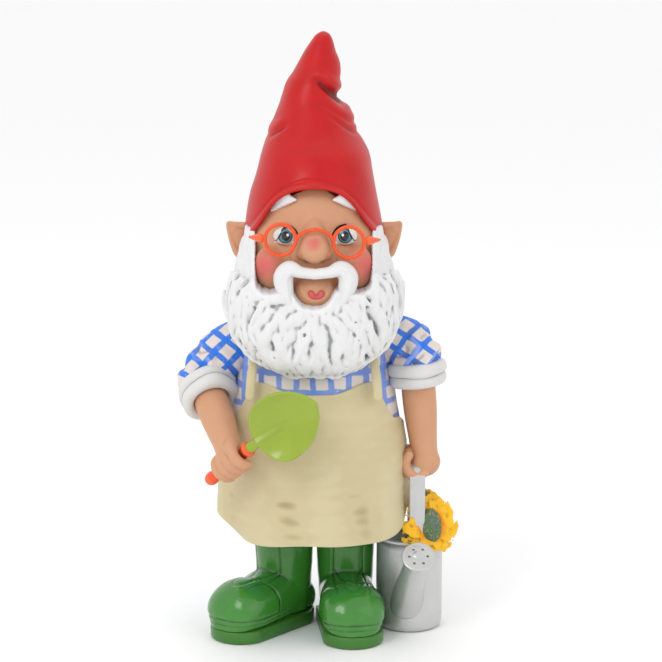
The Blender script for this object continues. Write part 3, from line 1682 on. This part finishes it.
    def brows(self, bench: Bench) -> None:
        """Thick brows of four locks each.

        Args:
            bench: Where they are finished.
        """
        for side in Side:
            sign = side.value
            clay = Clay()
            for index in range(4):
                lift = 1.1 * (index - 1.5)
                inset = (1.6, 0.2, 0.9, 2.6)[index]
                line = [Vector((sign * (9.8 + inset) + 0.6, -41.9, 245.6 + lift * 0.5)),
                        Vector((sign * (14.0 + inset * 0.4) + 0.6, -40.8, 245.8 + lift)),
                        Vector((sign * 19.0 + 0.6, -37.6, 242.8 + lift * 0.7)),
                        Vector((sign * 23.0 + 0.6, -34.2, 238.8 + lift * 0.3))]
                points, radii = along(line, [0.7, 1.7, 1.6, 0.6], 16)
                clay.tube(points, radii, sides=14)
            clay.recast(0.36, 2)
            bench.cast(clay, f"{side.word}_brow_cast", Paint.HAIR, f"{side.word}_eyebrow",
                       relief=0.5)

    def back_hair(self, bench: Bench) -> None:
        """Vertical locks from ear to ear behind the head.

        Args:
            bench: Where it is finished.
        """
        clay = Clay()
        clay.loft([(176, 31, -3, 27, 0), (190, 37.5, -4, 35, 0), (205, 40, -4, 38.5, 0),
                   (220.4, 38.5, -4, 37, 0)], 24, 72)
        last = 30
        for item in range(last + 1):
            angle = math.radians(8 + 164 * item / last)
            spread = self.hand.uniform(-0.06, 0.06)
            path = []
            for share in (0.0, 0.35, 0.7, 1.0):
                z = 218.5 - 41 * share
                wide = 38.0 - 7.5 * share**2 + 1.6 * math.sin(math.pi * share)
                path.append(Vector((wide * math.cos(angle + spread * share),
                                    -2 + (39.0 - 10 * share**2) * math.sin(angle), z)))
            self.lock(clay, path, self.hand.uniform(2.0, 2.9), 1.2, Vector((1, 0, 0)), 0.35)
        clay.recast(0.75, 1)
        bench.cast(clay, "hair_cast", Paint.HAIR, "hair")

    def build(self, bench: Bench) -> None:
        """Make all the hair.

        Args:
            bench: Where it is finished.
        """
        self.beard(bench)
        self.moustache(bench)
        self.brows(bench)
        self.back_hair(bench)


# ----------------------------------------------------------------------------- hat

@dataclass
class Hat:
    """A soft cone with slumped folds, a bent tip and a rolled rim."""

    rows: tuple = ((209.5, 39.4, -50, 42, 0), (218.5, 38.6, -49.5, 42, 0),
                   (232, 36.6, -50.5, 40, -0.3), (244, 34.4, -49.5, 37.5, -0.4),
                   (256, 31.4, -45, 35, 0.2), (266, 29.0, -38.5, 33, 0.4),
                   (278, 23.6, -26.5, 30, -0.6), (290, 19.2, -18, 26.5, 0.0),
                   (297, 15.4, -13.5, 23.5, -1.6), (303, 14.6, -10.5, 23, -0.4),
                   (309, 13.0, -7, 22.5, 1.8), (314, 11.4, -3.5, 22, 2.8),
                   (320, 8.6, 0, 20.5, 3.2), (325, 6.2, 3, 18, 4.2), (328.8, 3.6, 6, 15, 4.8),
                   (330.3, 0.8, 9.4, 11.4, 4.9))
    creases: tuple = (((14.5, 294.8), (1.7, 305.4), 2.6, 3.0), ((21, 281.8), (6, 292.4), 1.0, 1.7),
                      ((22, 277.6), (7.4, 288.0), 0.9, 1.7),
                      ((-23, 276.0), (-14.5, 282.3), 1.1, 2.0))
    crown_y: float = 3.0

    @staticmethod
    def rim_level(y: float) -> float:
        """The rim's height: arched over the brow, low at the sides and behind.

        Args:
            y: Place from front to back.

        Returns:
            The height there.
        """
        rows = [(-54, 255), (-50, 253.2), (-46, 250.2), (-41.7, 243.8), (-35, 232.2),
                (-27, 224.4), (-18, 219.6), (0, 216.6), (14, 212.4), (40, 210.2), (60, 209.6)]
        return table(rows, y)[0]

    def fold(self, place: Vector, normal: Vector) -> Vector:
        """Slumped folds, strongest under the bent tip.

        Args:
            place: A vertex.
            normal: Its normal.

        Returns:
            Its move.
        """
        lift = 0.0
        facing = 1 - smooth(place.y, 8, 20)
        for start, end, depth, half in self.creases:
            run = Vector((end[0] - start[0], end[1] - start[1]))
            offset = Vector((place.x - start[0], place.z - start[1]))
            share = offset.dot(run) / run.length_squared
            across = (run.x * offset.y - run.y * offset.x) / run.length * (
                1 if run.x > 0 else -1)
            fade = smooth(share, -0.45, 0.1) * (1 - smooth(share, 0.6, 1.3)) * facing
            lift -= depth * bump(across, 0, half) * fade
            lift += depth * 0.55 * bump(across, half * 1.4, half * 1.3) * fade
        soft = turbulence(Vector((place.x, place.y, place.z * 0.6)), 19.0, 2.0)
        return normal * (lift + 0.8 * soft * smooth(place.z, 236, 262))

    def build(self, bench: Bench) -> None:
        """Make the hat with its hollow and rim.

        Args:
            bench: Where it is finished.
        """
        clay = Clay()
        made = bmesh.ops.create_grid(clay.bm, x_segments=128, y_segments=120, size=1.0)
        for vert in made["verts"]:
            angle = math.pi * vert.co.x
            up = (vert.co.y + 1) / 2
            z = 250.0
            for _ in range(12):
                wide, front, back, middle = table(self.rows, z)
                y = (front + back) / 2 + (back - front) / 2 * math.sin(angle)
                low = self.rim_level(y)
                z = (z + low + (self.rows[-1][0] - low) * up**0.92) / 2
            wide, front, back, middle = table(self.rows, z)
            vert.co = Vector((middle + wide * math.cos(angle),
                              (front + back) / 2 + (back - front) / 2 * math.sin(angle), z))
        bmesh.ops.remove_doubles(clay.bm, verts=clay.bm.verts, dist=0.05)
        rim = [e for e in clay.bm.edges if e.is_boundary and e.verts[0].co.z < 262]
        for inset, rise, less in ((2.6, 0.6, 0.0), (1.2, 9.0, 6.5)):
            rolled = bmesh.ops.extrude_edge_only(clay.bm, edges=rim)["geom"]
            for vert in (g for g in rolled if isinstance(g, bmesh.types.BMVert)):
                inward = Vector((-vert.co.x, self.crown_y - vert.co.y, 0)).normalized()
                lift = rise - less * smooth(-vert.co.y, 18, 38)
                vert.co += inward * inset + Vector((0, 0, lift))
            rim = [g for g in rolled if isinstance(g, bmesh.types.BMEdge) and g.is_boundary]
        bmesh.ops.holes_fill(clay.bm, edges=[e for e in clay.bm.edges if e.is_boundary], sides=0)
        bmesh.ops.recalc_face_normals(clay.bm, faces=clay.bm.faces)
        clay.sculpt(self.fold)
        clay.sculpt(self.swell)
        clay.relax(1)
        bench.cast(clay, "hat_cast", Paint.RED, "hat", "hat_dowel", relief=1.0)

    def swell(self, place: Vector, normal: Vector) -> Vector:
        """A thick soft rim above the edge.

        Args:
            place: A vertex.
            normal: Its normal.

        Returns:
            Its move.
        """
        above = place.z - self.rim_level(place.y)
        outer = normal.dot(Vector((place.x, place.y - self.crown_y, 0))) > 0
        return normal * (0.9 * bump(above, 2.6, 3.6) - 0.5 * bump(above, 7.5, 2.6)) * outer


# ----------------------------------------------------------------------------- trowel

@dataclass
class Trowel:
    """An orange grip, a glossy neck and a dished blade."""

    fist: Vector = field(default_factory=lambda: Vector((-43, -54, 106.4)))
    along: Vector = field(default_factory=lambda: Vector((19, -15, 19)).normalized())
    tip: Vector = field(default_factory=lambda: Vector((0.80, -0.20, 0.60)).normalized())
    length: float = 34.0
    blade: float = 40.0

    def build(self, bench: Bench) -> None:
        """Make the grip and the blade.

        Args:
            bench: Where they are finished.
        """
        butt = self.fist - self.along * (self.length * 0.58)
        clay = Clay()
        clay.lathe(butt, self.along,
                   ((-3.6, 0.3), (-3.4, 1.6), (-2.4, 2.9), (-0.8, 3.6), (1.0, 3.8), (3.0, 3.5),
                    (6.0, 3.4), (16, 3.5), (26, 3.3), (30.4, 3.1), (31.2, 3.9), (32.8, 4.3),
                    (34.2, 4.0), (34.6, 3.0), (34.7, 0.3)))
        bench.cast(clay, "trowel_grip_cast", Paint.ORANGE, "trowel_handle")
        end = butt + self.along * (self.length + 0.3)
        hint = Vector((0.10, -1.0, 0.30))
        normal = (hint - self.tip * hint.dot(self.tip)).normalized()
        across = self.tip.cross(normal)
        root = end + self.tip * 5.5 - normal * 7.5
        clay = Clay()
        made = bmesh.ops.create_grid(clay.bm, x_segments=48, y_segments=64, size=1.0)
        shape = [(0.0, 2.2), (0.05, 8.6), (0.14, 13.6), (0.28, 16.8), (0.48, 17.2),
                 (0.66, 15.4), (0.82, 11.2), (0.93, 6.2), (1.0, 0.4)]
        for vert in made["verts"]:
            share = (vert.co.y + 1) / 2
            x, y = vert.co.x * table(shape, share)[0], self.blade * share
            depth = 7.0 + (x * x * 2.2 + (y - self.blade / 2) ** 2 * 0.9) / 120
            depth += 1.2 * bump(x, 0, 2.6) * (1 - smooth(share, 0.25, 0.7))
            vert.co = root + across * x + self.tip * y + normal * depth
        clay.bm.normal_update()
        facing = sum(f.normal.dot(normal) > 0 for f in clay.bm.faces) > 10
        bmesh.ops.solidify(clay.bm, geom=clay.bm.faces[:], thickness=2.0 if facing else -2.0)
        clay.lathe(end + self.tip * -1.5, self.tip,
                   ((0, 0.4), (0.3, 2.6), (1.0, 3.0), (5.5, 3.0), (8.0, 2.9), (12.0, 2.2),
                    (15.0, 1.0), (15.6, 0.2)))
        clay.recast(0.42, 3)
        bench.cast(clay, "trowel_blade_cast", Paint.LIME, "trowel_blade", relief=1.0)


# ----------------------------------------------------------------------------- can

@dataclass
class WateringCan:
    """A silver can with a spout, a pierced rose and a strap handle."""

    centre: Vector = field(default_factory=lambda: Vector((53, -6, 0)))
    radius: float = 18.5

    def body(self, bench: Bench) -> None:
        """Walls with rolled rims, and the soil inside.

        Args:
            bench: Where they are finished.
        """
        clay = Clay()
        radius = self.radius
        profile = ((0, 0.4), (0, radius - 2.6), (0.5, radius - 1.4), (1.5, radius - 0.6),
                   (3.2, radius - 0.2), (6, radius), (26, radius), (46, radius - 0.1),
                   (50.5, radius), (52.0, radius + 0.2), (53.0, radius - 0.4),
                   (52.8, radius - 1.3), (50.0, radius - 1.7), (47.0, radius - 1.7),
                   (46.6, 0.4))
        upright = Vector((0, 0, 1))
        clay.lathe(self.centre, upright, profile, 112)
        clay.sculpt(lambda p, n: (n - upright * n.z) * (0.35 * turbulence(p, 16.0, 6.0)))
        bench.cast(clay, "can_body_cast", Paint.SILVER, "can_body")
        clay = Clay()
        clay.ball(self.centre + Vector((0, 0, 46.8)), (16.4, 16.4, 3.6), detail=5)
        clay.sculpt(lambda p, n: n * (1.2 * abs(turbulence(p, 4.5, 3.0))
                                      if p.z > 46 else 0.0))
        bench.cast(clay, "can_fill_cast", Paint.LEAF, "can_fill")

    def strap(self, bench: Bench) -> None:
        """A tall flat hoop with rolled edges and a foot at each end.

        Args:
            bench: Where it is finished.
        """
        clay = Clay()
        x, front, back, low, high = 56.5, -23.0, 3.0, 46.8, 97.0
        line = [Vector((x, front, low)), Vector((x, front, 66)), Vector((x, front + 0.4, 84)),
                Vector((x, front + 4.2, 93)), Vector((x, -10, high - 1.1)),
                Vector((x, back - 4.2, 93)), Vector((x, back - 0.4, 84)), Vector((x, back, 66)),
                Vector((x, back, low))]
        points, radii = along(line, [1.0] * len(line), 90)
        clay.tube(points, [1.15 * r for r in radii], flat=3.4, hint=Vector((1, 0, 0)), sides=28,
                  round_ends=False)
        for sign in (-1, 1):
            clay.tube([p + Vector((sign * 3.5, 0, 0)) for p in points], radii, sides=12,
                      hint=Vector((1, 0, 0)), round_ends=False)
        clay.recast(0.42, 2)
        bench.cast(clay, "can_handle_cast", Paint.SILVER, "can_handle")

    def spout(self, bench: Bench) -> None:
        """A tapering spout with a collar, and a rose with its holes.

        Args:
            bench: Where they are finished.
        """
        clay = Clay()
        foot, mouth = Vector((51.0, -17.4, 14.5)), Vector((56.0, -36.5, 46.5))
        bend = foot + Vector((1.4, -6.4, 10.5))
        points, radii = along([foot, bend, (bend + mouth) / 2, mouth], [9.8, 8.6, 7.0, 5.6], 40)
        clay.tube(points, radii, sides=48, hint=Vector((1, 0, 0)))
        clay.ball(mouth, (5.6, 5.6, 5.0))
        clay.recast(0.5, 2)
        bench.cast(clay, "can_spout_cast", Paint.SILVER, "can_spout")
        axis = Vector((0.03, -0.66, 0.75)).normalized()
        middle = bench.site.centre("can_rose") + Vector((0.6, 1.0, 3.2))
        clay = Clay()
        base = middle - axis * 1.6
        clay.lathe(base, axis, ((-0.6, 0.3), (-0.5, 5.2), (0.2, 7.6), (0.8, 8.9), (1.6, 9.3),
                                (2.3, 9.2), (2.6, 8.5), (2.5, 8.0), (2.9, 5.0), (3.1, 0.3)), 84)
        turn = axis.to_track_quat("Z", "Y").to_matrix()
        holes = [Vector((0, 0))] + [Vector((5.0 * math.cos(a), 5.0 * math.sin(a)))
                                    for a in (math.tau * k / 6 for k in range(6))]

        def pierce(place: Vector, normal: Vector) -> Vector:
            """Sink each hole.

            Args:
                place: A vertex.
                normal: Its normal.

            Returns:
                Its move.
            """
            local = turn.transposed() @ (place - base)
            near = min((local.xy - hole).length for hole in holes)
            return -axis * (1.3 * (1 - smooth(near, 0.45, 0.85)) * (local.z > 1.8))

        clay.recast(0.26, 1)
        clay.sculpt(pierce)
        bench.cast(clay, "can_rose_cast", Paint.SILVER, "can_rose", relief=0.5)

    def build(self, bench: Bench) -> None:
        """Make the can.

        Args:
            bench: Where it is finished.
        """
        self.body(bench)
        self.strap(bench)
        self.spout(bench)


# ----------------------------------------------------------------------------- flowers

@dataclass
class Flower:
    """A domed disc inside two rows of cupped petals, on a stem."""

    name: str
    centre: Vector
    facing: Vector
    radius: float
    petals: int
    seed: int

    def petal(self, clay: Clay, angle: float, inner: float, outer: float, lift: float,
              width: float) -> None:
        """Add a curved, pointed petal with a crease.

        Args:
            clay: What it is added to.
            angle: Its place round the flower.
            inner: Its root's distance from the centre.
            outer: Its tip's distance.
            lift: How far it is raised along the flower's facing.
            width: Its half width.
        """
        turn = self.facing.to_track_quat("Z", "Y").to_matrix()
        out = turn @ Vector((math.cos(angle), math.sin(angle), 0))
        side = turn @ Vector((-math.sin(angle), math.cos(angle), 0))
        made = bmesh.ops.create_grid(clay.bm, x_segments=10, y_segments=16, size=1.0)
        for vert in made["verts"]:
            across, share = vert.co.x, (vert.co.y + 1) / 2
            half = width * (0.55 + 0.85 * math.sin(math.pi * min(share * 0.8 + 0.1, 1.0)) ** 0.8
                            ) * (1 - smooth(share, 0.80, 1.03) * 0.80)
            reach = inner + (outer - inner) * share
            rise = lift + 0.18 * (outer - inner) * math.sin(share * 2.6) - 0.10 * reach
            rise += 0.9 * across * across - 0.7 * bump(across, 0, 0.3)
            rise += 0.5 * math.sin(share * 9 + angle * 3) * abs(across)
            vert.co = (self.centre + out * reach + side * (half * across)
                       + self.facing * rise)
        faces = list({f for v in made["verts"] for f in v.link_faces})
        bmesh.ops.solidify(clay.bm, geom=faces, thickness=1.1)

    def build(self, bench: Bench) -> None:
        """Make the flower and its stem.

        Args:
            bench: Where they are finished.
        """
        hand = random.Random(self.seed)
        self.facing.normalize()
        scale = self.radius / 16.0
        clay = Clay()
        for row, (reach, lift, width) in enumerate(((1.0, -1.4, 4.8), (0.80, 0.0, 4.2))):
            for item in range(self.petals):
                angle = math.tau * (item + 0.5 * row + hand.uniform(-0.12, 0.12)) / self.petals
                self.petal(clay, angle, 3.0 * scale,
                           self.radius * reach * hand.uniform(0.93, 1.04), lift * scale,
                           width * scale * 8.0 / self.petals * hand.uniform(0.95, 1.1))
        clay.recast(max(0.3, 0.42 * scale), 1)
        paint = Radial(f"{self.name}_petals", "petal_paint", srgb(240, 184, 12),
                       srgb(176, 124, 12), srgb(248, 206, 60), 0.34, 0.2, 0.08, 0.5,
                       centre=tuple(self.centre), inner=srgb(232, 132, 14),
                       start=self.radius * 0.30, stop=self.radius * 0.62)
        bench.cast(clay, f"{self.name}_petals_cast", paint, f"{self.name}_petals", relief=0.5)
        clay = Clay()
        turn = self.facing.to_track_quat("Z", "Y").to_matrix()
        disc = 6.4 * scale
        clay.ball(self.centre + self.facing * (0.8 * scale), (disc * 0.8, disc * 1.25, 3.4 * scale),
                  turn, 5)
        clay.sculpt(lambda p, n: n * (0.55 * scale * abs(turbulence(p, 1.5 * scale, 2.0))))
        bench.cast(clay, f"{self.name}_disc_cast", Paint.DISC, f"{self.name}_disc", relief=0.4)
        low, high = bench.site.box(f"{self.name}_stem")
        foot = Vector(((low.x + high.x) / 2 * 0.3 + 53 * 0.7, -4, max(low.z, 44.0)))
        neck = self.centre - self.facing * (2.2 * scale)
        points, radii = along([foot, (foot + neck) / 2 + Vector((0, 0, 2)), neck],
                              [1.7, 1.5, 1.4], 16)
        clay = Clay()
        clay.tube(points, radii, sides=16, hint=Vector((0.3, 1, 0)))
        clay.ball(neck - self.facing * 0.3, (2.6 * scale, 2.6 * scale, 2.2 * scale))
        bench.cast(clay, f"{self.name}_stem_cast", Paint.LEAF, f"{self.name}_stem")


# ----------------------------------------------------------------------------- spectacles

@dataclass
class Spectacles:
    """Wire rings with a bridge and two short pointed temples."""

    spacing: float = 36.6
    ring: float = 8.1
    wire: float = 1.05
    plane: float = -52.0
    level: float = 226.3

    def middle(self, side: Side) -> Vector:
        """A ring's centre. The frame sits a little crooked.

        Args:
            side: The eye it is before.

        Returns:
            The centre.
        """
        return Vector((side.value * (self.spacing / 2 - 0.3) + 0.6, self.plane,
                       self.level - 1.3 - 0.7 * side.value))

    def build(self, bench: Bench) -> None:
        """Make the frame and the temples.

        Args:
            bench: Where they are finished.
        """
        clay = Clay()
        for side in Side:
            middle = self.middle(side)
            ring = []
            for k in range(72):
                angle = math.tau * k / 72
                ring.append(middle + Vector((self.ring * math.cos(angle), 0,
                                             self.ring * 1.02 * math.sin(angle))))
            self.loop(clay, ring, self.wire)
        right, left = self.middle(Side.RIGHT), self.middle(Side.LEFT)
        start = right + Vector((self.ring, 0, -0.5))
        end = left - Vector((self.ring, 0, -0.5))
        top = (start + end) / 2 + Vector((0, -4.4, 6.8))
        line = [start, start + Vector((2.6, -1.8, 3.6)), top,
                end + Vector((-2.6, -1.8, 4.2)), end]
        points, radii = along(line, [self.wire] * len(line), 40)
        clay.tube(points, radii, sides=16, hint=Vector((0, 0, 1)))
        clay.recast(0.24, 2)
        bench.cast(clay, "spectacle_cast", Paint.ORANGE, "spectacle_frame", relief=0.4)
        for side in Side:
            sign = side.value
            clay = Clay()
            ring_edge = self.middle(side) + Vector((sign * (self.ring + 0.6), 0.6, 0.8))
            line = [ring_edge, ring_edge + Vector((sign * 1.6, 0.9, -0.1)),
                    ring_edge + Vector((sign * 4.2, 3.0, -0.3)),
                    ring_edge + Vector((sign * 7.6, 7.0, -0.6))]
            points, radii = along(line, [1.4, 2.5, 1.8, 0.7], 20)
            clay.tube(points, radii, sides=20, flat=0.8)
            bench.cast(clay, f"{side.word}_temple_cast", Paint.ORANGE, f"{side.word}_temple")

    @staticmethod
    def loop(clay: Clay, points: Path, radius: float) -> None:
        """Add a closed round wire.

        Args:
            clay: What it is added to.
            points: Its middle line.
            radius: Its radius.
        """
        rings, count, sides = [], len(points), 14
        for index, point in enumerate(points):
            axis = (points[(index + 1) % count] - points[index - 1]).normalized()
            side = Vector((0, 1, 0))
            other = axis.cross(side)
            rings.append([point + side * (radius * math.cos(math.tau * k / sides))
                          + other * (radius * math.sin(math.tau * k / sides))
                          for k in range(sides)])
        clay.rings(rings + rings[:1], cap=False)
        bmesh.ops.remove_doubles(clay.bm, verts=clay.bm.verts, dist=WELD)


# ----------------------------------------------------------------------------- studio

@dataclass
class Studio:
    """A pale floor, soft lights and the camera."""

    site: Site
    floor_tone: float = 0.97
    room_light: float = 0.98
    eye: tuple[float, float, float] = (9.2, -1250, 420)
    pitch: float = 11.47
    lens: float = 125.8

    def at(self, x: float, y: float, z: float) -> Vector:
        """A figure place in millimetres as a frame place in metres."""
        return self.site.place() @ Vector((x, y, z))

    def light(self, name: str, place: Vector, aim: Vector, size: float, power: float) -> None:
        """Add a square soft light.

        Args:
            name: Its name.
            place: Where it stands, in metres.
            aim: What it points at.
            size: Its side in metres.
            power: Its watts.
        """
        data = bpy.data.lights.new(name, "AREA")
        data.size, data.energy = size, power
        lamp = bpy.data.objects.new(name, data)
        lamp.location = place
        lamp.rotation_euler = (aim - place).to_track_quat("-Z", "Y").to_euler()
        bpy.context.scene.collection.objects.link(lamp)

    def build(self) -> None:
        """Set the stage."""
        scene = bpy.context.scene
        scene.view_settings.view_transform = "Standard"
        floor_clay = bmesh.new()
        bmesh.ops.create_grid(floor_clay, x_segments=1, y_segments=1, size=6.0)
        mesh = bpy.data.meshes.new("floor")
        floor_clay.to_mesh(mesh)
        floor_clay.free()
        floor = bpy.data.objects.new("floor", mesh)
        floor.location = (0, 0, -0.0002)
        scene.collection.objects.link(floor)
        graph = Graph("pale_floor")
        graph.shader.inputs["Base Color"].default_value = (*(self.floor_tone,) * 3, 1)
        graph.shader.inputs["Roughness"].default_value = 0.7
        mesh.materials.append(graph.made)
        world = bpy.data.worlds.new("room")
        world.use_nodes = True
        world.node_tree.nodes["Background"].inputs[0].default_value = (1.0, 1.0, 1.0, 1)
        world.node_tree.nodes["Background"].inputs[1].default_value = self.room_light
        scene.world = world
        aim = self.at(0, 0, 170)
        self.light("key", self.at(-650, -950, 1150), aim, 0.6, 5.0)
        self.light("fill", self.at(900, -900, 700), aim, 0.9, 1.2)
        self.light("top", self.at(0, 250, 1300), aim, 0.9, 1.0)
        data = bpy.data.cameras.new("camera")
        data.lens = self.lens
        camera = bpy.data.objects.new("camera", data)
        camera.location = self.at(*self.eye)
        camera.rotation_euler = (math.radians(90 - self.pitch), 0, 0)
        scene.collection.objects.link(camera)
        scene.camera = camera


def dress_carried(frame: dict, site: Site) -> None:
    """Give the CAD nodes that stay in sight their finishes.

    Args:
        site: The frame's places.
    """
    for node, paint in (("trousers", Paint.BLUE), ("neck_dowel", Paint.DOWEL)):
        piece = frame["nodes"][node]
        piece.data.materials.clear()
        piece.data.materials.append(paint.material(site))


def main() -> None:
    """Build the gnome round its frame."""
    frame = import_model()
    site = Site()
    bench = Bench(site)
    clothes = Clothes()
    Boots().build(bench)
    clothes.build(bench)
    Arms(clothes).build(bench)
    Face().build(bench)
    Whiskers().build(bench)
    Hat().build(bench)
    Spectacles().build(bench)
    Trowel().build(bench)
    WateringCan().build(bench)
    for flower in (Flower("front_flower", Vector((64, -19.5, 61.0)), Vector((0.42, -0.86, 0.30)),
                          18.6, 9, 3),
                   Flower("rear_flower", Vector((70.5, -2, 62)), Vector((0.86, -0.22, 0.30)),
                          14.0, 8, 5),
                   Flower("small_flower", Vector((62.5, -2, 73)), Vector((0.35, -0.30, 0.88)),
                          8.0, 7, 9)):
        flower.build(bench)
    dress_carried(frame, site)
    Studio(site).build()


if __name__ == "__main__":
    logging.basicConfig(level=logging.INFO, format="%(message)s")
    main()
